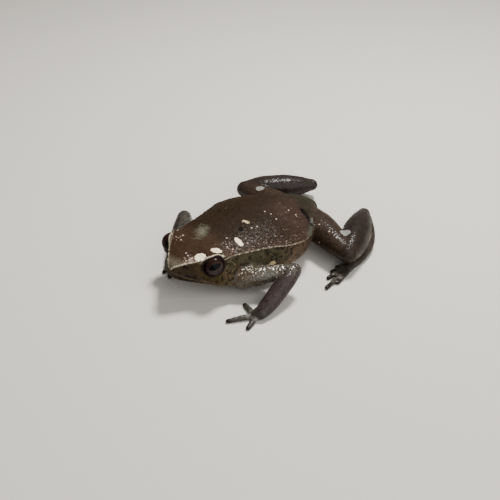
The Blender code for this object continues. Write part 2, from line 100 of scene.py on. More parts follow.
def smooth(keys):
    """A smooth curve through (place, values) keys, without overshoot, for numbers or arrays."""
    xs = np.array([key[0] for key in keys], float)
    ys = np.array([key[1:] for key in keys], float)
    slopes = np.diff(ys, axis=0) / np.diff(xs)[:, None]
    tangents = np.zeros_like(ys)
    tangents[0] = slopes[0]
    tangents[-1] = slopes[-1]
    before, after = slopes[:-1], slopes[1:]
    same = before * after > 0
    total = np.where(same, before + after, 1.0)
    tangents[1:-1] = np.where(same, 2 * before * after / total, 0.0)

    def curve(x):
        x = np.clip(np.asarray(x, float), xs[0], xs[-1])
        i = np.clip(np.searchsorted(xs, x, side="right") - 1, 0, len(xs) - 2)
        h = (xs[i + 1] - xs[i])[..., None]
        t = (x - xs[i])[..., None] / h
        value = (
            ys[i] * (1 + 2 * t) * (1 - t) ** 2
            + tangents[i] * h * t * (1 - t) ** 2
            + ys[i + 1] * t * t * (3 - 2 * t)
            + tangents[i + 1] * h * t * t * (t - 1)
        )
        return value[..., 0] if ys.shape[1] == 1 else value

    return curve


SPINE_SHIFT = smooth([
    (-20.5, 1.6), (-17, 0.85), (-14, 0.35), (-11, 0.2), (-8, 0), (0, -0.05), (10, 0), (21, 0),
])
RIDGE_SIDE = smooth([
    (-20.3, 0.35), (-20.1, 0.8), (-19.3, 1.55), (-18, 2.5), (-16.8, 3.5), (-16, 4.1), (-15, 4.8),
    (-14, 5.6), (-13.4, 6.2), (-12.9, 6.75), (-12.5, 7.05), (-11.2, 7.15), (-8, 7.85), (-5, 8.65),
    (-1, 9.9), (3, 11.25), (6, 11.4), (9, 10.5), (12, 8.3), (15, 6.0), (18, 3.8), (20, 2.2),
    (21.3, 0.8),
])
RIDGE_HEIGHT = smooth([
    (-20.3, 8.5), (-20.05, 8.95), (-19.6, 9.05), (-18, 9.2), (-16.9, 9.3), (-15.8, 9.45),
    (-14.7, 9.8), (-13.9, 10.15), (-13.4, 10.3), (-12.95, 10.15), (-12.5, 9.4), (-11.2, 9.2),
    (-8, 9.1), (-5, 8.85), (-1, 8.5), (3, 7.9), (6.5, 7.4), (11, 6.8), (18, 6.0), (21.3, 5.2),
])
BACK_HEIGHT = smooth([
    (-20.3, 8.55), (-20.05, 9.05), (-19.5, 9.25), (-18, 9.6), (-15, 10.15), (-13, 10.45),
    (-11, 10.65), (-5, 11.0), (2, 11.35), (8, 11.1), (12, 10.5), (16, 9.2), (19, 7.6),
    (21.3, 5.8),
])
FLANK_SIDE = smooth([
    (-20.3, 0.5), (-20.1, 1.0), (-19, 2.5), (-17, 4.5), (-15, 6.3), (-13, 7.7), (-11, 8.45),
    (-8.6, 8.3), (-5, 8.9), (0, 10.1), (5, 10.6), (9, 9.7), (13, 7.4), (17, 4.7), (20, 2.6),
    (21.3, 0.9),
])
FLANK_HEIGHT = smooth([
    (-20.3, 7.6), (-19, 6.5), (-17, 5.4), (-14, 4.3), (-11, 3.7), (-4, 3.9), (8, 4.3), (15, 4.4),
    (21.3, 4.8),
])
BELLY_HEIGHT = smooth([
    (-20.3, 7.1), (-19.8, 5.9), (-18, 4.5), (-15, 3.1), (-11, 2.1), (-6, 1.3), (-2, 0.6),
    (2, 0.0), (6, -0.25), (12, -0.2), (16, 0.5), (19, 2.0), (21.3, 4.0),
])
FLANK_BULGE = smooth([
    (-20.3, 0), (-18, -0.2), (-15.5, -0.1), (-11.5, 0.3), (-8, 0.3), (0, 0.5), (8, 0.35),
    (21.3, 0.1),
])
# The head is held a little askew: how far the right brow stands higher, by station, and
# the share of that by side and by height.
BROW_RAISE = smooth([(-17, 0), (-13.2, 0.45), (-9.6, 0)])
BROW_BY_SIDE = smooth([(2, 0), (6, 1)])
BROW_BY_HEIGHT = smooth([(5, 0), (9, 1)])
BACK_ARCH, BELLY_SQUARE = 1.95, 2.3

ARMS = {
    "left": {
        "shoulder": (8.3, -7.9, 3.75), "elbow": (15.1, -0.6, 5.4), "wrist": (16.5, -9.8, 1.5),
        "palm": (16.1, -11.5, 0.95),
        "fingers": [
            ((14.9, -9.8, 0.75), (13.5, -7.4, 0.5)), ((14.6, -11.2, 0.6), (11.8, -10.6, 0.42)),
            ((15.2, -12.3, 0.6), (13.2, -16.3, 0.4)), ((16.4, -12.3, 0.6), (17.3, -14.9, 0.4)),
        ],
    },
    "right": {
        "shoulder": (-8.6, -7.8, 3.85), "elbow": (-15.4, -3.4, 5.0), "wrist": (-8.9, -11.9, 1.5),
        "palm": (-7.9, -13.3, 0.9),
        "fingers": [
            ((-7.0, -12.4, 0.75), (-5.2, -11.4, 0.5)), ((-6.8, -13.3, 0.6), (-4.7, -13.4, 0.42)),
            ((-7.1, -13.9, 0.6), (-5.4, -15.6, 0.4)), ((-7.8, -14.0, 0.6), (-7.6, -15.4, 0.4)),
        ],
    },
}
LEGS = {
    "left": {
        "hip": (3.0, 16.4, 5.0), "knee": (17.2, 13.1, 4.1), "heel": (9.2, 27.6, 3.8),
        "sole": [(9.6, 27.9, 2.9), (12.6, 25.3, 2.1), (15.4, 21.6, 1.4), (16.9, 17.2, 0.95),
                 (17.3, 13.8, 0.65)],
    },
    "right": {
        "hip": (-3.0, 16.6, 3.7), "knee": (-17.0, 16.2, 3.6), "heel": (-7.7, 28.7, 3.8),
        "sole": [(-8.4, 29.6, 2.9), (-11.9, 27.8, 2.2), (-15.3, 24.5, 1.5),
                 (-17.0, 20.2, 0.95), (-17.4, 16.7, 0.65)],
    },
}
# Toes I to V from the ball of the foot: root and tip as (outward, forward).
TOES = [
    ((-0.7, -0.2), (-1.7, 1.9)), ((-0.5, 0.1), (-1.3, 4.0)), ((-0.2, 0.2), (-0.4, 6.0)),
    ((0.2, 0.2), (1.6, 8.7)), ((0.6, 0.0), (2.0, 5.9)),
]
TOE_HEIGHT, TOE_DROP = 0.4, 0.05

# Half widths along each limb, by share of its length, and how much flatter it is high.
UPPER_ARM_GIRTH = smooth([(0, 2.4), (0.35, 2.1), (0.7, 1.7), (1, 1.6)])
FOREARM_GIRTH = smooth([(0, 1.6), (0.35, 1.8), (0.75, 1.7), (1, 1.45)])
PALM_GIRTH = smooth([(0, 1.4), (0.5, 1.6), (1, 1.25)])
THIGH_GIRTH = smooth([(0, 3.0), (0.3, 3.5), (0.6, 3.1), (1, 2.1)])
SHANK_GIRTH = smooth([(0, 2.1), (0.3, 3.0), (0.55, 3.0), (0.8, 2.4), (1, 1.45)])
SOLE_GIRTH = smooth([(0, 1.3), (0.4, 1.45), (0.75, 1.35), (1, 1.1)])
DIGIT_GIRTH = smooth([
    (0, 0.64), (0.28, 0.54), (0.42, 0.6), (0.58, 0.49), (0.7, 0.54), (0.84, 0.44), (0.93, 0.49),
    (1, 0.44),
])
ARM_FLATNESS, PALM_FLATNESS, DIGIT_FLATNESS = 0.94, 0.75, 0.9
THIGH_FLATNESS, SHANK_FLATNESS, SOLE_FLATNESS = 0.83, 0.92, 0.8

# The skin's grains by size and height, those heights and the wetness by kind of part, and the
# grains that the material adds.
GRAIN_SIZE, FINE_GRAIN_SIZE, FINE_GRAIN_HEIGHT, MICRO_GRAIN = 0.44, 0.26, 0.022, 0.21
GRAIN_HEIGHT = {"trunk": 0.07, "arm": 0.09, "fore": 0.045, "hand": 0.04, "thigh": 0.045,
                "shank": 0.04, "foot": 0.04}
WETNESS = {"trunk": 0.05, "arm": 1.8, "fore": 0.45, "hand": 0.5, "thigh": 0.35, "shank": 0.35,
           "foot": 0.4, "digit": 0.4}


def tone(red, green, blue):
    """A linear colour from a picture's 0 to 255 values."""
    values = np.array([red, green, blue], float) / 255
    return np.where(values <= 0.04045, values / 12.92, ((values + 0.055) / 1.055) ** 2.4)


def rise(low, high, x):
    """0 below low, 1 above high, and a soft step between."""
    t = np.clip((x - low) / (high - low), 0, 1)
    return t * t * (3 - 2 * t)


def hill(x, width):
    """A bell of height 1 at 0."""
    return np.exp(-(x / width) ** 2)


def mix(a, b, share):
    """a where share is 0 and b where it is 1, for numbers or colours."""
    share = np.asarray(share)
    if share.ndim == 1 and np.ndim(a) + np.ndim(b) > 0 and np.shape(b)[-1:] == (3,):
        share = share[:, None]
    return a + (b - a) * share


def unit(vectors):
    """Vectors of length 1."""
    return vectors / np.maximum(np.linalg.norm(vectors, axis=-1, keepdims=True), 1e-12)


def bend(station):
    """How far the spine turns the body's cross section at a station, in radians."""
    reach = 0.5
    slope = (SPINE_SHIFT(station + reach) - SPINE_SHIFT(station - reach)) / (2 * reach)
    return np.arctan(-slope)


def place(station, side, height):
    """Body points from station along the bent spine, side and height."""
    turn = bend(station)
    x = SPINE_SHIFT(station) + side * np.cos(turn)
    y = station + side * np.sin(turn)
    return np.stack(np.broadcast_arrays(x, y, height), axis=-1)


def stations_of(points):
    """The station and side of points, the reverse of place."""
    station = points[:, 1].copy()
    for _ in range(5):
        turn = bend(station)
        side = (points[:, 0] - SPINE_SHIFT(station)) / np.cos(turn)
        station = points[:, 1] - side * np.sin(turn)
    return station, side


def hashed(cells, seed):
    """A number from 0 to 1 for each whole-number cell, the same on every run."""
    cells = cells.astype(np.int64)
    n = cells[..., 0] * 73856093 ^ cells[..., 1] * 19349663 ^ cells[..., 2] * 83492791
    n = (n ^ seed * 2654435761) & 0xFFFFFFFF
    n = (n ^ n >> 15) * 2246822519 & 0xFFFFFFFF
    n = (n ^ n >> 13) * 3266489917 & 0xFFFFFFFF
    return ((n ^ n >> 16) & 0xFFFFFF) / float(0xFFFFFF)


def cloud(points, size, seed):
    """Soft noise from 0 to 1 whose blobs are about this size."""
    scaled = points / size
    base = np.floor(scaled)
    t = scaled - base
    t = t * t * (3 - 2 * t)
    total = np.zeros(len(points))
    for i in range(8):
        corner = np.array([i & 1, i >> 1 & 1, i >> 2 & 1])
        weight = np.prod(np.where(corner, t, 1 - t), axis=1)
        total += weight * hashed(base + corner, seed)
    return total


def nearest_of(candidates):
    """The smallest distance for each point among (distances, value) pairs, and its value."""
    nearest, chosen = np.inf, 0.0
    for distance, value in candidates:
        closer = distance < nearest
        nearest = np.where(closer, distance, nearest)
        chosen = np.where(closer, value, chosen)
    return nearest, chosen


def grains(points, size, seed):
    """Distance to the nearest of many scattered grains, as a share of size, and its number."""
    scaled = points / size
    base = np.floor(scaled)

    def in_cell(i):
        cell = base + np.array([i % 3 - 1, i // 3 % 3 - 1, i // 9 - 1])
        spot = cell + np.stack([hashed(cell, seed + k) for k in range(3)], axis=-1)
        return np.linalg.norm(scaled - spot, axis=1), hashed(cell, seed + 7)

    return nearest_of(in_cell(i) for i in range(27))


def flank_reach(station, share):
    """How far the flank stands out, by the share of the way down from the ridge."""
    under = RIDGE_SIDE(station) - RIDGE_OVERHANG
    bulge = FLANK_BULGE(station) * 4 * share * (1 - share)
    return under + (FLANK_SIDE(station) - under) * share + bulge


def half_section(station):
    """Half the body's outline at a station, from the back's middle to the belly's."""
    ridge, ridge_z = RIDGE_SIDE(station), RIDGE_HEIGHT(station)
    flank, flank_z = FLANK_SIDE(station), FLANK_HEIGHT(station)
    top, bottom = BACK_HEIGHT(station), BELLY_HEIGHT(station)
    s = np.linspace(0, 1, BACK_POINTS)
    back = np.stack([ridge * s, top - (top - ridge_z) * s ** BACK_ARCH], axis=-1)
    t = np.linspace(0, 1, FLANK_POINTS)[1:-1] ** 1.5
    cheek = np.stack([flank_reach(station, t), ridge_z + (flank_z - ridge_z) * t], axis=-1)
    angle = np.linspace(0, math.pi / 2, BELLY_POINTS)
    side = flank * np.maximum(np.cos(angle), 0) ** (2 / BELLY_SQUARE)
    height = flank_z - (flank_z - bottom) * np.sin(angle) ** (2 / BELLY_SQUARE)
    half = np.concatenate([back, cheek, np.stack([side, height], axis=-1)])
    half[:, 1] = np.maximum(half[:, 1], 0.0)
    return half


def brow_raise(station, side, height):
    """How much higher points of the head's right half stand than those of its left."""
    return BROW_RAISE(station) * BROW_BY_SIDE(side) * BROW_BY_HEIGHT(height)


def trunk_rings():
    """Rings of points round the head and torso, from snout to vent."""
    rings = []
    for station in np.linspace(SNOUT, VENT, TRUNK_RINGS):
        half = half_section(station)
        left = place(station, half[:, 0], half[:, 1])
        raised = half[:, 1] + brow_raise(station, half[:, 0], half[:, 1])
        right = place(station, -half[1:-1, 0], raised[1:-1])
        rings.append(np.concatenate([left, right[::-1]]))
    return rings


def tube(path, girth, flatness=1.0, rings=LIMB_RINGS, sides=LIMB_SIDES):
    """A round-ended limb along a smooth path: its rings, centres, half widths and ups."""
    points = np.array(path, float)
    lengths = np.concatenate([[0], np.cumsum(np.linalg.norm(np.diff(points, axis=0), axis=1))])
    route = smooth([(length / lengths[-1], *point) for length, point in zip(lengths, points)])
    reach = 0.02
    t = np.linspace(0, 1, rings)
    along = unit(route(np.minimum(t + reach, 1)) - route(np.maximum(t - reach, 0)))
    across = unit(np.cross(along, (0, 0, 1)))
    up = np.cross(across, along)
    centres, radii = route(t), girth(t)
    angle = np.linspace(0, 2 * math.pi, sides, endpoint=False)[:, None]

    def ring(i, shift, shrink):
        spoke = across[i] * np.cos(angle) + up[i] * np.sin(angle) * flatness
        return centres[i] + along[i] * shift * radii[i] + spoke * radii[i] * shrink

    caps = np.radians([85, 72, 58, 44, 30, 15])
    made = [ring(0, -math.sin(a), math.cos(a)) for a in caps]
    made += [ring(i, 0, 1) for i in range(rings)]
    made += [ring(-1, math.sin(a), math.cos(a)) for a in caps[::-1]]
    return {"rings": made, "centres": centres, "radii": radii, "ups": up, "flatness": flatness}


def ball_rings(middle, radii, top):
    """Rings of an ellipsoid, flattened where it would pass the top."""
    angle = np.linspace(0, 2 * math.pi, LID_SIDES, endpoint=False)
    rings = []
    for lift in np.linspace(-0.995, 0.995, LID_RINGS) * math.pi / 2:
        ring = np.stack([
            radii[0] * math.cos(lift) * np.cos(angle),
            radii[1] * math.cos(lift) * np.sin(angle),
            np.full(len(angle), radii[2] * math.sin(lift)),
        ], axis=-1) + middle
        ring[:, 2] = np.minimum(ring[:, 2], top)
        rings.append(ring)
    return rings


def closed_mesh(name, surfaces):
    """One mesh of closed surfaces, each from its rings with a fan over both ends."""
    points, faces = [], []
    for rings in surfaces:
        start = sum(len(block) for block in points)
        count = len(rings[0])
        points += [np.concatenate(rings), [rings[0].mean(axis=0), rings[-1].mean(axis=0)]]
        j = np.arange(count)
        after = (j + 1) % count
        for i in range(len(rings) - 1):
            a, b = start + i * count, start + (i + 1) * count
            faces += np.stack([a + j, a + after, b + after, b + j], axis=-1).tolist()
        first, last = start + count * len(rings), start + count * len(rings) + 1
        end = start + (len(rings) - 1) * count
        faces += np.stack([start + after, start + j, np.full(count, first)], axis=-1).tolist()
        faces += np.stack([end + j, end + after, np.full(count, last)], axis=-1).tolist()
    mesh = bpy.data.meshes.new(name)
    mesh.from_pydata(np.concatenate(points).tolist(), [], faces)
    mesh.update()
    return mesh


def eye_frame(mirror):
    """The middle of an eye, and its across, up and axis directions as columns."""
    station, side, height = EYE_PLACES[mirror]
    middle = place(station, mirror * side, height)
    ahead = place(station, 0, 0) - place(station + 1, 0, 0)
    heading = math.atan2(-ahead[0], -ahead[1])
    axis = np.array([mirror * EYE_AXIS[0], EYE_AXIS[1], EYE_AXIS[2]])
    cos, sin = math.cos(-heading), math.sin(-heading)
    axis = unit(np.array([axis[0] * cos - axis[1] * sin, axis[0] * sin + axis[1] * cos, axis[2]]))
    level = unit(np.cross((0, 0, 1), axis))
    steep = np.cross(axis, level)
    cos, sin = math.cos(mirror * EYE_ROLL), math.sin(mirror * EYE_ROLL)
    across = level * cos + steep * sin
    return middle, np.stack([across, np.cross(axis, across), axis], axis=-1)


def digit(root, tip):
    """A straight finger or toe, a little swollen at its joints."""
    middle = [(a + b) / 2 for a, b in zip(root, tip)]
    return tube([root, middle, tip], DIGIT_GIRTH, DIGIT_FLATNESS, DIGIT_RINGS, DIGIT_SIDES)


def limb_tubes():
    """Every limb segment and digit as named tubes."""
    tubes = {}
    for side, arm in ARMS.items():
        tubes[f"arm_{side}"] = tube([arm["shoulder"], arm["elbow"]], UPPER_ARM_GIRTH, ARM_FLATNESS)
        tubes[f"fore_{side}"] = tube([arm["elbow"], arm["wrist"]], FOREARM_GIRTH, ARM_FLATNESS)
        tubes[f"hand_{side}"] = tube([arm["wrist"], arm["palm"]], PALM_GIRTH, PALM_FLATNESS)
        for k, (root, tip) in enumerate(arm["fingers"]):
            tubes[f"digit_hand_{side}_{k}"] = digit(root, tip)
    for side, leg in LEGS.items():
        mirror = 1 if side == "left" else -1
        tubes[f"thigh_{side}"] = tube([leg["hip"], leg["knee"]], THIGH_GIRTH, THIGH_FLATNESS)
        tubes[f"shank_{side}"] = tube([leg["knee"], leg["heel"]], SHANK_GIRTH, SHANK_FLATNESS)
        tubes[f"foot_{side}"] = tube(leg["sole"], SOLE_GIRTH, SOLE_FLATNESS)
        x, y, z = leg["sole"][-1]
        for k, ((out_root, ahead_root), (out_tip, ahead_tip)) in enumerate(TOES):
            root = (x + mirror * out_root, y - ahead_root, z - TOE_DROP)
            tip = (x + mirror * out_tip, y - ahead_tip, TOE_HEIGHT)
            tubes[f"digit_foot_{side}_{k}"] = digit(root, tip)
    return tubes


def distance_to_tube(points, limb):
    """How far points lie outside a tube, and the share of its length beside them."""
    count = len(limb["radii"])

    def from_ring(k):
        offset = points - limb["centres"][k]
        high = offset @ limb["ups"][k]
        wide = np.maximum((offset ** 2).sum(axis=1) - high ** 2, 0)
        return np.sqrt(wide + (high / limb["flatness"]) ** 2) - limb["radii"][k], k / (count - 1)

    return nearest_of(from_ring(k) for k in range(0, count, 2))


def fused_skin(trunk, tubes):
    """The trunk, lids and limbs fused to one closed surface of even small faces."""
    surfaces = [trunk] + [limb["rings"] for limb in tubes.values()]
    for mirror in SIDES:
        middle = eye_frame(mirror)[0] - np.array([mirror * LID_INSET, 0, 0])
        surfaces.append(ball_rings(middle, LID_RADII, BROW_HEIGHTS[mirror]))
    rough = add_object("rough_skin", closed_mesh("rough_skin", surfaces))
    remesh = rough.modifiers.new("fuse", "REMESH")
    remesh.mode = "VOXEL"
    remesh.voxel_size = SKIN_GRID
    remesh.adaptivity = 0.0
    bpy.context.view_layer.update()
    graph = bpy.context.evaluated_depsgraph_get()
    mesh = bpy.data.meshes.new_from_object(rough.evaluated_get(graph))
    bpy.data.objects.remove(rough)
    return mesh


def read_rows(items, key, each, width, kind=float):
    """Rows of numbers from a mesh's items, each of which holds so many."""
    values = np.empty(len(items) * each, kind)
    items.foreach_get(key, values)
    return values.reshape(-1, width)


def normals_of(points, faces):
    """Outward directions at the vertices."""
    corners = points[faces]
    across = np.cross(corners[:, 2] - corners[:, 0], corners[:, 3] - corners[:, 1])
    total = np.zeros_like(points)
    for corner in range(4):
        for axis in range(3):
            total[:, axis] += np.bincount(faces[:, corner], across[:, axis], len(points))
    return unit(total)


def relaxed(points, edges, share, rounds):
    """Points moved towards their neighbours' middle, by a share for each, a few times over."""
    points = points.copy()
    count = len(points)
    a, b = edges[:, 0], edges[:, 1]
    degree = np.maximum(np.bincount(a, None, count) + np.bincount(b, None, count), 1)
    for _ in range(rounds):
        for axis in range(3):
            value = points[:, axis]
            total = np.bincount(a, value[b], count) + np.bincount(b, value[a], count)
            points[:, axis] = value + (total / degree - value) * share
    return points


# How much the crease between two kinds of part is rounded off, from 0 to 1.
CREASE = {
    ("trunk", "arm"): 1.0, ("arm", "fore"): 0.8, ("fore", "hand"): 0.8, ("hand", "digit"): 0.5,
    ("trunk", "thigh"): 0.6, ("thigh", "shank"): 0.45, ("shank", "foot"): 0.05,
    ("foot", "digit"): 0.5, ("trunk", "fore"): 0.0, ("digit", "digit"): 0.4,
}
OTHER_CREASE, CREASE_WIDTH = 0.2, 0.7
CREASE_SHARE, CREASE_ROUNDS = 0.8, 60
EVEN_SHARE, EVEN_ROUNDS = 0.5, 2


def kind_of(name):
    """The kind of part that a named piece is."""
    return name.split("_")[0]


def part_shares(points, trunk, tubes):
    """For each part its distance from the points, and for each limb the share along it."""
    mesh = closed_mesh("trunk", [trunk])
    tree = BVHTree.FromPolygons(
        [vertex.co for vertex in mesh.vertices],
        [list(face.vertices) for face in mesh.polygons],
    )
    distances = {"trunk": np.array([tree.find_nearest(point)[3] for point in points])}
    bpy.data.meshes.remove(mesh)
    shares = {}
    for name, limb in tubes.items():
        distances[name], shares[name] = distance_to_tube(points, limb)
    return distances, shares


def crease_mask(distances):
    """Where two parts meet whose crease is a soft one."""
    table = np.stack(list(distances.values()))
    order = np.argsort(table, axis=0)
    gap = np.take_along_axis(table, order[1:2], axis=0)[0]
    kinds = [kind_of(name) for name in distances]
    amount = np.array([[CREASE.get((a, b), CREASE.get((b, a), OTHER_CREASE)) for b in kinds]
                       for a in kinds])
    return amount[order[0], order[1]] * hill(np.maximum(gap, 0), CREASE_WIDTH)


def open_eye(points, mirror):
    """Skin drawn back from an eyeball to a thin rolled lid, with folds in front and below.

    Also gives each point's distance out from the lid's edge, and the pale line over the brow.
    """
    middle, turn = eye_frame(mirror)
    local = (points - middle) @ turn
    radius = np.linalg.norm(local, axis=1)
    tilt = np.arccos(np.clip(local[:, 2] / radius, -1, 1))
    around = np.arctan2(local[:, 1], local[:, 0])
    up = np.sin(around)
    limit = np.radians(OPEN_SIDE + (np.where(up > 0, OPEN_UP, OPEN_DOWN) - OPEN_SIDE) * up ** 2)
    out = (tilt - limit) * EYE_RADIUS
    kept = rise(2.8, 3.4, radius) * rise(0.5, 0.1, up)
    pulled = np.clip(out, -LID_PULL, LID_PULL) * hill(out, 0.4) * (1 - kept)
    tilt = tilt - pulled / EYE_RADIUS
    out = out - pulled + 3 * kept

    rim = EYE_RADIUS + LID_CLEARANCE
    settle = LID_WIDTH - LID_NARROWING * rise(0.0, 0.7, up)
    lid = rim + (np.maximum(radius, rim) - rim) * rise(0, 1, out / settle)
    folds = rise(0.35, -0.2, up) * np.exp(-np.maximum(out, 0) / 0.9) * rise(0.1, 0.35, out)
    lid += LID_FOLD * folds * np.cos(2 * math.pi * (out - 0.16) / LID_FOLD_SPACING)
    tucked = rim + (EYE_RADIUS - LID_TUCK - rim) * rise(0, 0.12, -out)
    rolled = np.where(out > 0, lid, tucked) + LID_BEAD * hill(out - 0.15, 0.14)
    target = mix(rolled, radius, kept)
    ray = np.stack([np.sin(tilt) * np.cos(around), np.sin(tilt) * up, np.cos(tilt)], axis=-1)
    near = (radius < EYE_REACH) & (tilt < EYE_TURN)
    moved = middle + (ray * target[:, None]) @ turn.T

    rearward = rise(0.2, 0.9, mirror * np.cos(around))
    brow_end = mix(0.5, 0.05, rearward)
    brow = hill(out - BROW_LINE, BROW_LINE_WIDTH) * rise(brow_end, brow_end + 0.35, up)
    brow *= rise(3.0, 2.75, target) * near
    return np.where(near[:, None], moved, points), np.where(near, out, FAR), brow


def on_cheeks(station, height):
    """The two places at a height between ridge and lip, one on each side of the body."""
    ridge_z, flank_z = RIDGE_HEIGHT(station), FLANK_HEIGHT(station)
    side = flank_reach(station, (ridge_z - height) / (ridge_z - flank_z))
    return [place(station, mirror * side, height) for mirror in SIDES]


def distance_to_path(points, path):
    """Distance to a smooth path through points, and the share of the way along it."""
    route = smooth([(k / (len(path) - 1), *point) for k, point in enumerate(path)])
    steps = np.linspace(0, 1, PATH_STEPS)
    return nearest_of((np.linalg.norm(points - route(t), axis=1), t) for t in steps)


def distance_to_dots(points, dots):
    """Distance to the nearest of some places."""
    return np.min([np.linalg.norm(points - np.array(dot), axis=1) for dot in dots], axis=0)


# Markings: middle, half sizes, and heading of the long axis in degrees, seen from above
# with 0 along +X.
PALE_SPOTS = [
    ((4.05, -14.95, 9.7), (1.05, 0.92), 35),
    ((4.7, -11.5, 10.1), (1.0, 0.64), 45),
    ((5.4, -6.3, 10.05), (1.2, 0.58), -6),
    ((13.95, 15.8, 5.6), (1.25, 1.15), 40),
    ((-11.8, 15.9, 6.0), (1.0, 0.9), 0),
]
PALE_DOTS = [
    (2.1, 3.95, 11.16), (3.4, 4.42, 10.93), (4.18, 8.76, 10.35), (5.7, 9.31, 9.69),
    (5.06, 4.35, 10.52), (4.55, -0.54, 10.64), (1.3, -16.17, 9.92), (8.76, 13.36, 7.03),
    (11.72, 13.22, 6.78), (10.87, 11.42, 4.52), (9.6, 7.6, 8.0), (7.2, 6.4, 9.4),
]
PALE_DOT = 0.2
DARK_SPOTS = [
    ((3.17, -3.7, 10.8), (0.66, 0.46), -40),
    ((7.7, -4.2, 9.35), (0.24, 0.2), 0),
    ((-5.46, -1.74, 10.4), (0.34, 0.24), 10),
    ((-8.8, 1.6, 9.25), (0.3, 0.24), 0),
    ((-3.0, -1.4, 11.0), (0.22, 0.18), 0),
    ((-4.5, 4.2, 11.0), (0.2, 0.18), 0),
]
TAN_FLECKS = [
    ((2.1, -1.45, 11.1), (0.75, 0.36), 20),
    ((9.9, -1.6, 4.8), (0.95, 0.42), 60),
]
# How much a height counts for a spot's outline, and clusters of white grains, partly the
# skin's own pale granules and partly painted glints, as (x, y, reach, share of the grains).
SPOT_STEEPNESS = 0.6
GRAIN_CLUSTERS = [
    (-3.8, -14.4, 1.3, 0.3), (2.9, -16.6, 1.0, 0.9), (4.9, -8.6, 1.3, 0.3),
    (6.5, -2.0, 4.0, 0.05), (6.0, 8.0, 5.0, 0.04), (1.0, -3.0, 12, 0.015),
]
# The pale patch on the head: its middle, half sizes and the direction of its short side.
PATCH_MIDDLE, PATCH_HALF, PATCH_AXIS = (-1.85, -9.7), (1.6, 2.9), (0.73, 0.68)
# How much painted shade darkens the far arm and forearm.
FAR_ARM_PAINTED_SHADE = 0.35
# The slit where the left thigh's skin meets the rump, cut in and darkened with painted shade.
GROIN_SLIT = [(4.9, 12.8, 8.75), (6.1, 12.75, 8.15), (7.7, 12.2, 7.3)]


def spot_distance(points, spots):
    """Distance outside the nearest of some oval spots, below 0 inside it."""
    nearest = np.full(len(points), FAR)
    for middle, (long, short), heading in spots:
        offset = points - np.array(middle)
        cos, sin = math.cos(math.radians(heading)), math.sin(math.radians(heading))
        a = offset[:, 0] * cos + offset[:, 1] * sin
        b = -offset[:, 0] * sin + offset[:, 1] * cos
        c = offset[:, 2] * SPOT_STEEPNESS
        away = np.sqrt((a / long) ** 2 + (b / short) ** 2 + (c / short) ** 2)
        nearest = np.minimum(nearest, (away - 1) * math.sqrt(long * short))
    return nearest


def lifted(points, normals, lift):
    """Points moved out along their normals, by a lift for each."""
    return points + normals * lift[:, None]


def trunk_fields(points, to_trunk):
    """Where each point lies on the trunk, and how far from its ridge and lip."""
    station, side = stations_of(points)
    side = np.abs(side)
    height = points[:, 2] - brow_raise(station, side, points[:, 2]) * (points[:, 0] < 0)
    over_ridge = height - RIDGE_HEIGHT(station)
    on_trunk = rise(0.9, 0.25, to_trunk)
    dorsal = on_trunk * rise(-0.12, 0.04, over_ridge)
    return {
        "station": station, "on_trunk": on_trunk, "dorsal": dorsal,
        "to_ridge": np.hypot(side - RIDGE_SIDE(station), over_ridge),
        "below_ridge": 2.0 * on_trunk * (1 - dorsal),
        "below_lip": FLANK_HEIGHT(station) - height,
        "head": rise(-7.5, -10.5, station) * on_trunk,
        "mouth": on_trunk * rise(JAW_BACK + 0.9, JAW_BACK - 0.4, station),
    }


def ridge_and_mouth(points, f):
    """Lift of the fold's bead, broken into grains behind the eye, and of the closed mouth."""
    station, below_lip, mouth = f["station"], f["below_lip"], f["mouth"]
    phase = 2 * math.pi * station / BEAD_SPACING + 5 * cloud(points, 1.1, 4)
    beads = (0.5 + 0.5 * np.cos(phase)) * cloud(points, 0.8, 5) * rise(-11, -8, station)
    fold = f["on_trunk"] * rise(19, 14, station) * hill(f["to_ridge"], FOLD_WIDTH)
    lift = fold * (FOLD_HEIGHT + BEAD_HEIGHT * beads)
    lift += mouth * LIP_HEIGHT * hill(below_lip, 0.2)
    lift -= mouth * MOUTH_DEPTH * hill(below_lip - 0.32, 0.15)
    lift -= mouth * JAW_INSET * rise(0.3, 0.5, below_lip) * rise(2.2, 0.8, below_lip)
    return lift


def ears_and_nostrils(points, f):
    """Lift of the ears' rings, the nostrils and the fold of skin from each ear to the arm."""
    ear = distance_to_dots(points, on_cheeks(EAR_STATION, EAR_HEIGHT))
    nostril = distance_to_dots(points, on_cheeks(NOSTRIL_STATION, NOSTRIL_HEIGHT))
    paths = zip(*(on_cheeks(station, height) for station, height in EAR_FOLD))
    behind_ear = np.min([distance_to_path(points, path)[0] for path in paths], axis=0)
    f.update(nostril=nostril, behind_ear=behind_ear)
    lift = 0.08 * hill(ear - EAR_RADIUS, 0.2) - 0.07 * rise(1.0, 0.6, ear)
    lift += 0.08 * hill(nostril - 0.38, 0.13) - NOSTRIL_DEPTH * hill(nostril, 0.22)
    lift += 0.16 * hill(behind_ear - 0.45, 0.3) * (f["station"] < -9.9)
    lift -= 0.2 * hill(behind_ear, 0.22)
    return lift


def open_eyes(points, f):
    """Points with both eyes opened, and the fields of their lids and brows."""
    before = points[:, 2].copy()
    outs, brows = [], []
    for mirror in SIDES:
        points, out, brow = open_eye(points, mirror)
        outs.append(out)
        brows.append(brow)
    sunk = rise(0.1, 0.3, before - points[:, 2]) * rise(-12.6, -13.4, f["station"])
    f.update(to_eye=np.min(outs, axis=0), brow=np.max(brows, axis=0), sunk=sunk)
    return points


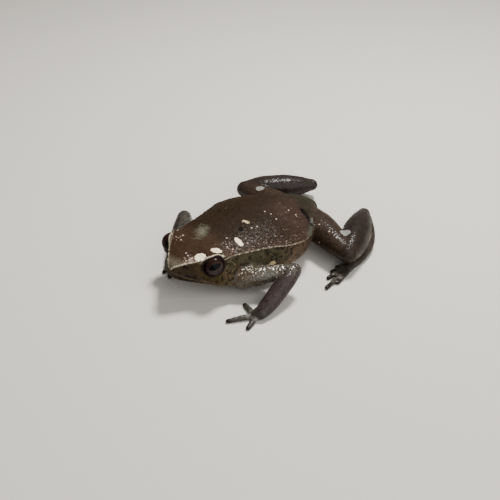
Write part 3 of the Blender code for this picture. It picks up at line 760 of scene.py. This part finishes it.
def slit_and_spots(points, f):
    """Lift of the pale spots and dots, and of the groin's slit, which narrows as it falls."""
    flat = np.array([1, 1, 0.35])
    groin, share = distance_to_path(points * flat, np.array(GROIN_SLIT) * flat)
    slit = hill(groin / mix(0.8, 0.35, share), 1.0)
    dots = distance_to_dots(points, PALE_DOTS)
    f.update(slit=slit, dots=dots)
    lift = 0.09 * rise(PALE_DOT + 0.1, 0.05, dots) - SLIT_DEPTH * slit
    return lift + 0.035 * rise(0.12, -0.05, spot_distance(points, PALE_SPOTS))


def part_weights(distances):
    """How much each kind of part shows at each point, all adding up to 1."""
    weights = {}
    for kind in WETNESS:
        nearest = np.min([d for name, d in distances.items() if kind_of(name) == kind], axis=0)
        weights[kind] = np.exp(-np.maximum(nearest, 0) / 0.35)
    total = sum(weights.values())
    return {kind: weight / total for kind, weight in weights.items()}


def weighted(parts, amounts):
    """The amounts for the kinds of parts, mixed by how much each shows."""
    return sum(amount * parts[kind] for kind, amount in amounts.items())


def along_digits(start, distances, shares, reach, low, high):
    """Where points lie on the digits with this name, rising from low to high along them."""
    return np.max([rise(reach, 0.1, distances[name]) * rise(low, high, shares[name])
                   for name in shares if name.startswith(start)], axis=0)


def skin_grains(points, f):
    """Lift of the skin's grains, coarse on the trunk and arms and finer elsewhere."""
    grain, number = grains(points, GRAIN_SIZE, 11)
    fine, fine_number = grains(points, FINE_GRAIN_SIZE, 23)
    bump = rise(0.62, 0.15, grain)
    f.update(grain=bump, number=number, fine_grain=rise(0.6, 0.2, fine), fine_number=fine_number)
    lids = rise(0.0, 0.35, f["to_eye"])
    height = weighted(f["parts"], GRAIN_HEIGHT) * (mix(0.5, 1.0, cloud(points, 2.2, 31)) * lids)
    lift = height * bump + FINE_GRAIN_HEIGHT * f["fine_grain"] * (1 - f["tip"])
    return lift + 0.03 * (cloud(points, 0.9, 41) - 0.5) * lids


def heel_seam(points, normals, distances):
    """Where a pale line runs along the crease between shank and foot."""
    shank = np.minimum(distances["shank_left"], distances["shank_right"])
    foot = np.minimum(distances["foot_left"], distances["foot_right"])
    seam = hill(shank - foot, 0.26) * rise(0.9, 0.4, shank + foot)
    return seam * rise(-0.6, -0.1, normals[:, 2]) * rise(25, 22, points[:, 1])


def build_skin():
    """The skin's mesh, its points in the frog's frame, and the fields that its looks need."""
    trunk, tubes = trunk_rings(), limb_tubes()
    mesh = fused_skin(trunk, tubes)
    points = read_rows(mesh.vertices, "co", 3, 3)
    faces = read_rows(mesh.loops, "vertex_index", 1, 4, np.int64)
    edges = read_rows(mesh.edges, "vertices", 2, 2, np.int64)
    distances, shares = part_shares(points, trunk, tubes)
    points = relaxed(points, edges, crease_mask(distances) * CREASE_SHARE, CREASE_ROUNDS)
    points = relaxed(points, edges, EVEN_SHARE, EVEN_ROUNDS)

    f = trunk_fields(points, distances["trunk"])
    normals = normals_of(points, faces)
    points = lifted(points, normals, ridge_and_mouth(points, f))
    points = lifted(points, normals, ears_and_nostrils(points, f))
    points = open_eyes(points, f)

    normals = normals_of(points, faces)
    points = lifted(points, normals, slit_and_spots(points, f))
    f.update(
        parts=part_weights(distances), shares=shares, normals=normals,
        seam=heel_seam(points, normals, distances),
        tip=along_digits("digit", distances, shares, 0.35, 0.72, 0.9),
        root=along_digits("digit_hand", distances, shares, 0.3, 0.3, 0.1),
    )
    points = lifted(points, normals, skin_grains(points, f))
    points[:, 2] = np.maximum(points[:, 2], FLOOR_GAP)
    return mesh, points, f


# Colours by region, as they look under even light, with painted shade, painted glints and painted
# sheen among them.
TONES = {name: tone(*values) for name, values in {
    "back": (43, 31, 19), "back_far": (41, 26, 8), "back_near_and_sheen": (57, 44, 34),
    "back_rear": (62, 46, 38), "head": (60, 42, 27), "snout_top": (100, 90, 75),
    "snout_side": (57, 44, 29), "face": (75, 62, 36), "cheek": (95, 80, 56),
    "flank": (80, 73, 54), "flank_rear": (96, 79, 63), "belly": (122, 107, 82),
    "arm": (95, 92, 78), "shoulder": (78, 66, 48), "fore": (60, 48, 47), "hand": (60, 54, 49),
    "digit": (72, 67, 60), "root": (140, 138, 128), "tip": (32, 25, 20), "thigh": (57, 43, 32),
    "shank": (41, 32, 26), "foot": (58, 50, 43), "rump": (42, 41, 28), "band": (79, 82, 70),
    "patch": (104, 100, 85), "fold": (76, 34, 20), "ochre": (92, 72, 47), "lid": (36, 22, 22),
    "lip": (104, 90, 78), "groove_shade": (10, 6, 5), "mottle": (18, 13, 7), "line": (220, 207, 182),
    "seam": (235, 222, 195), "cloud": (12, 7, 4), "shade_between_grains": (6, 3, 2),
    "speckle": (128, 104, 92), "pale_grain_and_glint": (186, 164, 150), "dark_spot": (8, 4, 4),
    "fleck": (200, 178, 138), "spot_edge": (14, 8, 6), "spot": (255, 246, 218),
    "spot_warm": (224, 196, 162), "spot_dull": (126, 124, 118), "iris": (39, 23, 19),
    "iris_below": (56, 49, 46), "threads": (22, 11, 10), "iris_rim": (16, 8, 10),
    "pupil_ring": (60, 46, 42),
}.items()}
TONES["pupil"] = (0.0012, 0.0016, 0.0022)


def layered(points, name, layers):
    """A named tone for each vertex, with others laid over it in turn by their shares."""
    colour = np.broadcast_to(TONES[name], points.shape)
    for over, share in layers:
        colour = mix(colour, TONES[over], share)
    return colour


def back_tint(points, f, blotch, fine):
    """The colours of the back, from the snout's top to the rump."""
    x, y, station, to_ridge = points[:, 0], points[:, 1], f["station"], f["to_ridge"]
    band = rise(1.9, 1.0, to_ridge + 0.5 * fine) * rise(7.5, 9.5, station)
    streak = cloud(points * np.array([1.0, 3.0, 1.0]), 0.7, 54)
    beside, ahead = x - PATCH_MIDDLE[0], y - PATCH_MIDDLE[1]
    wide = beside * PATCH_AXIS[0] + ahead * PATCH_AXIS[1]
    deep = ahead * PATCH_AXIS[0] - beside * PATCH_AXIS[1]
    patch = np.hypot(wide / PATCH_HALF[0], deep / PATCH_HALF[1]) + 0.9 * (streak - 0.4)
    return layered(points, "back", [
        ("back_far", rise(0.0, -6.0, x)),
        # The back by the left fold is greyer: partly its own grey-purple tone and partly painted
        # sheen.
        ("back_near_and_sheen", rise(4.5, 0.5, to_ridge + 1.5 * blotch) * (x > 0)),
        ("back_rear", 0.8 * rise(3, 8, station) * rise(-2, 3, x)),
        ("head", 0.9 * f["head"]),
        ("snout_top", 0.9 * rise(-17.0, -18.8, station + 0.8 * fine)),
        ("rump", 0.9 * rise(13, 16.5, station + 2 * blotch)),
        ("band", 0.8 * band * rise(14.5, 13, station)),
        ("patch", rise(1.3, 0.35, patch + 0.25 * (fine - 0.5))),
    ])


def flank_tint(points, f, blotch, spots):
    """The colours of the face, the flanks and the belly."""
    station, z = f["station"], points[:, 2]
    under = rise(0.2, -0.6, f["normals"][:, 2]) * rise(5.0, 3.0, z)
    return layered(points, "flank", [
        ("flank_rear", rise(-1, 4, station)),
        ("cheek", rise(-8.8, -10.2, station) * rise(0.2, 0.8, blotch)),
        ("ochre", 0.5 * hill(station + 10.1, 0.8) * rise(7.6, 6.0, z)),
        ("face", rise(-11.0, -14.0, station + blotch)),
        ("snout_side", rise(-15.5, -18, station)),
        ("belly", under),
        ("mottle", 0.75 * spots * (1 - under * 0.4)),
    ])


def limb_tint(points, f, kind, spots):
    """The colours of one kind of limb, with painted shade that darkens the far arm and forearm."""
    layers = [("mottle", (0.7 if kind == "arm" else 0.4) * spots)]
    far = points[:, 0] < 0
    if kind == "arm":
        along = np.where(far, f["shares"]["arm_right"], f["shares"]["arm_left"])
        layers.append(("shoulder", rise(0.5, 0.1, along)))
    # Painted shade: the far arm and forearm are darkened in the colour.
    shade = FAR_ARM_PAINTED_SHADE if kind in ("arm", "fore") else 0.0
    return layered(points, kind, layers) * (1 - shade * far)[:, None]


def skin_tint(points, f):
    """The skin's colour at each vertex, before the finest grain."""
    z, parts = points[:, 2], f["parts"]
    blotch, fine, finest = cloud(points, 1.6, 51), cloud(points, 0.55, 52), cloud(points, 0.3, 53)
    spots = rise(0.5, 0.68, fine * 0.6 + finest * 0.4)
    tint = mix(flank_tint(points, f, blotch, spots), back_tint(points, f, blotch, fine), f["dorsal"])
    tint = tint * parts["trunk"][:, None]
    for kind in parts:
        if kind != "trunk":
            tint = tint + limb_tint(points, f, kind, spots) * parts[kind][:, None]
    for name, share in (
        ("root", 0.75 * f["root"] * rise(0.25, 0.6, fine)),
        ("tip", f["tip"]),
        ("fold", 0.75 * hill(f["behind_ear"], 0.4) * rise(7.5, 5.5, z)),
        ("lip", 0.6 * f["mouth"] * hill(f["below_lip"], 0.14)),
        # Painted shade: the mouth's groove, the nostrils and the groin's slit are darkened in the
        # colour.
        ("groove_shade", f["mouth"] * hill(f["below_lip"] - 0.36, 0.16)),
        ("groove_shade", hill(f["nostril"], 0.32)),
        ("groove_shade", rise(0.1, 0.45, f["slit"])),
        ("lid", 0.9 * rise(0.5, 0.15, f["to_eye"])),
        ("seam", 0.9 * f["seam"] * rise(0.15, 0.45, fine)),
    ):
        tint = mix(tint, TONES[name], share)
    return tint


def fold_line(points, f):
    """The pale line along the fold and over the eyes."""
    station = f["station"]
    strength = mix(1.0, 0.66, rise(-12.5, -9, station)) * rise(10.5, 8, station) * f["on_trunk"]
    strength *= mix(1.0, 0.4, rise(3.5, 7.5, station))
    width = mix(0.25, 0.15, rise(-14, -11, station))
    line = strength * hill(f["to_ridge"] / width, 1.0) * rise(0.1, 0.3, f["to_eye"])
    line *= 1 - 0.95 * f["sunk"]
    line *= 1 - 0.75 * rise(-13.4, -12.6, station) * (points[:, 0] < 0)
    return np.clip(np.maximum(line, f["brow"]), 0, 1)


def speckle(points, f):
    """How many fine pale specks show, partly the skin's own speckle and partly painted glints, most
    of them near the left fold.
    """
    station = f["station"]
    near_ridge = rise(6.0, 1.0, f["to_ridge"]) * (points[:, 0] > 0) * rise(-13, -9, station)
    back = f["dorsal"] * (0.15 + 0.85 * near_ridge * rise(9, 3, station))
    return back + 0.25 * (1 - f["on_trunk"])


def pale_grains_and_glints(points, f):
    """Which grains are white: pale granules mixed with painted glints on the back, and painted glints
    atop the left arm.
    """
    station, left, dorsal = f["station"], points[:, 0] > 0, f["dorsal"]
    cluster = np.zeros(len(points))
    for x, y, reach, share in GRAIN_CLUSTERS:
        away = np.hypot(points[:, 0] - x, points[:, 1] - y)
        cluster = np.maximum(cluster, share * hill(away, reach))
    by_fold = 0.15 * rise(5.5, 0.5, f["to_ridge"]) * left * rise(-12.5, -9.5, station)
    by_fold *= rise(9, 3, station)
    by_fold = np.maximum(1.2 * cluster, by_fold)
    # Painted glints on the upward-facing top of the left upper arm.
    on_arm = 0.4 * (rise(0.4, 0.85, f["normals"][:, 2]) * f["parts"]["arm"] * left)

    def chosen(share, number):
        return rise(0.0, 0.04, share - number)

    return np.max([
        chosen(cluster, f["number"]) * dorsal * rise(0.3, 0.6, f["grain"]),
        chosen(by_fold, f["fine_number"]) * dorsal * rise(0.2, 0.6, f["fine_grain"]) * 0.45,
        chosen(on_arm, f["number"]) * rise(0.4, 0.8, f["grain"]) * 0.85,
        rise(PALE_DOT, PALE_DOT - 0.1, f["dots"]),
    ], axis=0)


def add_looks(mesh, points, f):
    """Stores the skin's colour and markings, which its material reads."""
    add_attribute(mesh, "tint", skin_tint(points, f), "FLOAT_COLOR")
    to_dark = spot_distance(points, DARK_SPOTS)
    wet = weighted(f["parts"], WETNESS) + 0.15 * f["parts"]["shank"] * (points[:, 0] < 0)
    for name, values in (
        ("line", fold_line(points, f)),
        ("spot", spot_distance(points, PALE_SPOTS) + f["below_ridge"]),
        ("dull", rise(8, 12, points[:, 1])),
        ("dark", to_dark),
        ("tan", spot_distance(points, TAN_FLECKS)),
        ("speckle", speckle(points, f)),
        ("pale_grain_and_glint", pale_grains_and_glints(points, f)),
        ("wet", wet * rise(-0.05, 0.1, to_dark)),
    ):
        add_attribute(mesh, name, values)


def add_attribute(mesh, name, values, kind="FLOAT"):
    """Stores one value or colour for each vertex."""
    attribute = mesh.attributes.new(name, kind, "POINT")
    if kind == "FLOAT_COLOR":
        values = np.concatenate([values, np.ones((len(values), 1))], axis=1)
        attribute.data.foreach_set("color", values.astype(np.float32).ravel())
    else:
        attribute.data.foreach_set("value", values.astype(np.float32))


class Nodes:
    """Builds one material's nodes with short calls."""

    def __init__(self, name):
        self.material = bpy.data.materials.new(name)
        self.material.use_nodes = True
        self.tree = self.material.node_tree

    def plug(self, node, key, value):
        """Sets or links one input of a node, to a value, a tone's name or another's output."""
        socket = node.inputs[key]
        if isinstance(value, bpy.types.NodeSocket):
            self.tree.links.new(value, socket)
        elif isinstance(value, str):
            socket.default_value = (*TONES[value], 1.0)
        else:
            socket.default_value = value

    def plug_all(self, node, inputs):
        """Sets or links inputs by their names, with _ for a space, or by in and a number."""
        for key, value in inputs.items():
            self.plug(node, int(key[2:]) if key.startswith("in") else key.replace("_", " "), value)

    def make(self, kind, settings=None, **inputs):
        """A node with its settings and inputs."""
        node = self.tree.nodes.new(kind)
        for key, value in (settings or {}).items():
            setattr(node, key, value)
        self.plug_all(node, inputs)
        return node

    def shade(self, **inputs):
        """The material, with inputs of its surface shader set or linked."""
        self.plug_all(self.tree.nodes["Principled BSDF"], inputs)
        return self.material

    def attribute(self, name, output="Fac"):
        """A value or colour stored on the mesh."""
        return self.make("ShaderNodeAttribute", {"attribute_name": name}).outputs[output]

    def place_mm(self):
        """The object's own coordinates in millimetres."""
        where = self.make("ShaderNodeTexCoord").outputs["Object"]
        return self.make("ShaderNodeVectorMath", {"operation": "SCALE"}, in0=where,
                         Scale=1 / MM).outputs[0]

    def math(self, operation, a, b=0.0):
        """The result of one operation on two values."""
        return self.make("ShaderNodeMath", {"operation": operation}, in0=a, in1=b).outputs[0]

    def add(self, a, b):
        """The sum of two values."""
        return self.math("ADD", a, b)

    def times(self, a, b):
        """The product of two values."""
        return self.math("MULTIPLY", a, b)

    def ramp(self, value, low, high, to_low=0.0, to_high=1.0):
        """value taken from low..high to to_low..to_high with a soft step."""
        return self.make("ShaderNodeMapRange", {"interpolation_type": "SMOOTHSTEP"}, Value=value,
                         From_Min=low, From_Max=high, To_Min=to_low,
                         To_Max=to_high).outputs["Result"]

    def blend(self, share, a, b):
        """Colour a where share is 0 and b where it is 1."""
        return self.make("ShaderNodeMix", {"data_type": "RGBA"}, in0=share, in6=a,
                         in7=b).outputs[2]

    def noise(self, where, size, detail=3.0):
        """Soft noise whose blobs are about this many millimetres across."""
        return self.make("ShaderNodeTexNoise", Vector=where, Scale=1 / size,
                         Detail=detail).outputs["Fac"]


def skin_material():
    """Wet granular frog skin."""
    n = Nodes("frog_skin")
    where, wet = n.place_mm(), n.attribute("wet")
    colour = n.attribute("tint", "Color")
    colour = n.blend(n.ramp(n.noise(where, 1.4), 0.35, 0.65, 0.0, 0.25), colour, "cloud")
    grain = n.make("ShaderNodeTexVoronoi", Vector=where, Scale=1 / MICRO_GRAIN)
    to_grain = grain.outputs["Distance"]
    # Painted shade: the crevices between the fine grains are darkened in the colour.
    colour = n.blend(n.ramp(to_grain, 0.15, 0.6, 0.0, 0.35), colour, "shade_between_grains")
    number = n.make("ShaderNodeSeparateColor", Color=grain.outputs["Color"]).outputs[0]
    # Fine pale specks on grain tops: partly speckle and partly painted glints.
    pale = n.times(n.ramp(number, 0.72, 0.9), n.ramp(to_grain, 0.42, 0.2))
    colour = n.blend(n.times(pale, n.attribute("speckle")), colour, "speckle")
    # Painted glints, with some pale granules: chosen grains turned white in the colour.
    colour = n.blend(n.attribute("pale_grain_and_glint"), colour, "pale_grain_and_glint")
    broken = n.ramp(n.noise(where, 0.3), 0.32, 0.55, 0.2, 1.0)
    colour = n.blend(n.times(n.attribute("line"), broken), colour, "line")

    # Spots and flecks with ragged edges.
    ragged = n.times(n.math("SUBTRACT", n.noise(where, 0.4, 5.0), 0.5), 0.6)
    colour = n.blend(n.ramp(n.add(n.attribute("dark"), ragged), 0.08, -0.06), colour, "dark_spot")
    fleck = n.add(n.attribute("tan"), n.times(ragged, 2.4))
    colour = n.blend(n.ramp(fleck, 0.1, -0.1, 0.0, 0.9), colour, "fleck")
    spot = n.add(n.attribute("spot"), ragged)
    colour = n.blend(n.ramp(spot, 0.2, 0.1, 0.0, 0.5), colour, "spot_edge")
    spot_colour = n.blend(n.ramp(n.noise(where, 0.35, 5.0), 0.38, 0.66), "spot", "spot_warm")
    spot_colour = n.blend(n.attribute("dull"), spot_colour, "spot_dull")
    colour = n.blend(n.ramp(spot, 0.06, -0.02), colour, spot_colour)

    rough = n.add(n.add(n.times(wet, -0.36), 0.6), n.times(n.noise(where, 0.5), 0.14))
    height = n.add(n.ramp(to_grain, 0.65, 0.1), n.times(n.noise(where, 0.12), 0.8))
    bump = n.make("ShaderNodeBump", Height=height, Strength=0.6, Distance=0.05 * MM)
    return n.shade(
        Base_Color=colour, Roughness=rough, Normal=bump.outputs["Normal"],
        Specular_IOR_Level=0.06, Coat_Weight=n.times(wet, 0.5), Coat_Roughness=0.18,
        Subsurface_Weight=0.05, Subsurface_Radius=(0.6 * MM, 0.3 * MM, 0.2 * MM),
    )


def eyeball(mirror, shift):
    """One eyeball whose iris and pupil face along the eye's axis."""
    name = "eyeball_left" if mirror == 1 else "eyeball_right"
    middle, turn = eye_frame(mirror)
    angle = np.linspace(0, 2 * math.pi, EYE_SIDES, endpoint=False)
    rings = []
    for tilt in np.linspace(0.004, 0.996, EYE_RINGS) * math.pi:
        radius = EYE_RADIUS + EYE_BULGE * hill(tilt, BULGE_WIDTH) - EYE_GAP
        rings.append(np.stack([
            radius * math.sin(tilt) * np.cos(angle),
            radius * math.sin(tilt) * np.sin(angle),
            np.full(EYE_SIDES, radius * math.cos(tilt)),
        ], axis=-1))
    mesh = closed_mesh(name, [rings[::-1]])
    local = read_rows(mesh.vertices, "co", 3, 3)
    across, high, front = local[:, 0] / EYE_RADIUS, local[:, 1] / EYE_RADIUS, local[:, 2] > 0
    pupil = np.hypot(across / PUPIL_LENGTH, high / PUPIL_HEIGHT) - 1
    add_attribute(mesh, "pupil", np.where(front, pupil * 0.4, FAR))
    add_attribute(mesh, "above", high)
    add_attribute(mesh, "rim", np.where(front, np.hypot(across, high), 1.0))
    return finished(name, mesh, middle + local @ turn.T, shift)


def eye_material():
    """Dark maroon iris, paler below, round a level black pupil, under a clear wet coat."""
    n = Nodes("frog_eye")
    pupil = n.attribute("pupil")
    iris = n.blend(n.ramp(n.attribute("above"), -0.4, 0.2), "iris_below", "iris")
    threads = n.noise(n.place_mm(), 0.16, 5.0)
    iris = n.blend(n.ramp(threads, 0.4, 0.65, 0.0, 0.55), iris, "threads")
    iris = n.blend(n.ramp(n.attribute("rim"), 0.66, 0.86), iris, "iris_rim")
    ring = n.math("ABSOLUTE", n.math("SUBTRACT", pupil, 0.05))
    iris = n.blend(n.ramp(ring, 0.05, 0.0, 0.0, 0.5), iris, "pupil_ring")
    return n.shade(
        Base_Color=n.blend(n.ramp(pupil, 0.02, -0.01), iris, "pupil"), Roughness=0.25,
        Coat_Weight=0.08, Coat_Roughness=0.04, Specular_IOR_Level=0.02,
    )


def add_object(name, data):
    """A new object in the scene."""
    made = bpy.data.objects.new(name, data)
    bpy.context.scene.collection.objects.link(made)
    return made


def finished(name, mesh, points, shift):
    """A smooth object of the mesh, with its points set in the model's frame."""
    mesh.vertices.foreach_set("co", (points * MM + shift).ravel())
    mesh.update()
    mesh.name = name
    mesh.shade_smooth()
    return add_object(name, mesh)


# The camera: where it looks, from how far, and which way, in the frog's frame.
LOOK_AT = (2.5215, -0.5843, 4.0)
VIEW_DISTANCE, VIEW_ELEVATION, VIEW_AZIMUTH = 160.0, 34.475, 47.011
LENS_LENGTH, SENSOR_WIDTH = 55.9, 36.0
LAMP_TARGET_HEIGHT = 4
# Half the floor's width in metres, its colour and the room's light.
FLOOR_REACH, FLOOR_COLOUR, ROOM_LIGHT = 1.5, (0.60, 0.57, 0.52, 1), 0.3


def aim(obj, target):
    """Turns a lamp or camera towards a point."""
    obj.rotation_euler = (Vector(target) - obj.location).to_track_quat("-Z", "Y").to_euler()


def add_camera(shift):
    """The camera at the photograph's viewing angle."""
    camera = add_object("camera", bpy.data.cameras.new("camera"))
    elevation, azimuth = math.radians(VIEW_ELEVATION), math.radians(VIEW_AZIMUTH)
    back = np.array([math.cos(elevation) * math.sin(azimuth),
                     -math.cos(elevation) * math.cos(azimuth), math.sin(elevation)])
    target = np.array(LOOK_AT) * MM + shift
    camera.location = Vector(target + back * VIEW_DISTANCE * MM)
    aim(camera, target)
    camera.data.lens = LENS_LENGTH
    camera.data.sensor_width = SENSOR_WIDTH
    camera.data.clip_start = 0.005
    bpy.context.scene.camera = camera


def add_lamp(name, place_mm, size_mm, power, colour=(1, 1, 1)):
    """A round soft lamp aimed at the frog."""
    lamp = add_object(name, bpy.data.lights.new(name, "AREA"))
    lamp.data.shape = "DISK"
    lamp.data.size = size_mm * MM
    lamp.data.energy = power
    lamp.data.color = colour
    lamp.location = Vector(place_mm) * MM
    aim(lamp, (0, 0, LAMP_TARGET_HEIGHT * MM))


def add_studio():
    """A pale floor, a main lamp high behind the frog, a wide soft fill and even room light."""
    mesh = bpy.data.meshes.new("floor")
    corners = [(x * FLOOR_REACH, y * FLOOR_REACH, 0) for x, y in ((-1, -1), (1, -1), (1, 1), (-1, 1))]
    mesh.from_pydata(corners, [], [(0, 1, 2, 3)])
    mesh.materials.append(Nodes("floor").shade(Base_Color=FLOOR_COLOUR, Roughness=0.8))
    floor = add_object("floor", mesh)
    add_lamp("main_lamp", (-20, 95, 240), 60, 1.15, (1.0, 0.98, 0.95))
    add_lamp("side_fill", (340, -40, 210), 600, 1.9)
    world = bpy.data.worlds.new("room")
    world.use_nodes = True
    world.node_tree.nodes["Background"].inputs["Color"].default_value = (1, 1, 1, 1)
    world.node_tree.nodes["Background"].inputs["Strength"].default_value = ROOM_LIGHT
    bpy.context.scene.world = world


def add_skin(shift):
    """The skin, one piece that stands for all the flesh of the solids."""
    mesh, points, fields = build_skin()
    add_looks(mesh, points, fields)
    mesh.materials.clear()
    mesh.materials.append(skin_material())
    skin = finished("skin", mesh, points, shift)
    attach(skin, "root")
    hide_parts(*FLESH)


def add_eyes(shift):
    """Both eyeballs, of one material."""
    material = eye_material()
    for mirror, node in ((1, "eye_left"), (-1, "eye_right")):
        eye = eyeball(mirror, shift)
        eye.data.materials.append(material)
        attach(eye, "root")
        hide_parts(node)


def main():
    """Sets the frog's frame over the model's by the left eye, and adds everything."""
    eye_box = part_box("eye_left")
    eye_middle = (np.array(eye_box[0]) + np.array(eye_box[1])) / 2
    shift = eye_middle - eye_frame(1)[0] * MM
    add_camera(shift)
    add_studio()
    add_skin(shift)
    add_eyes(shift)


main()
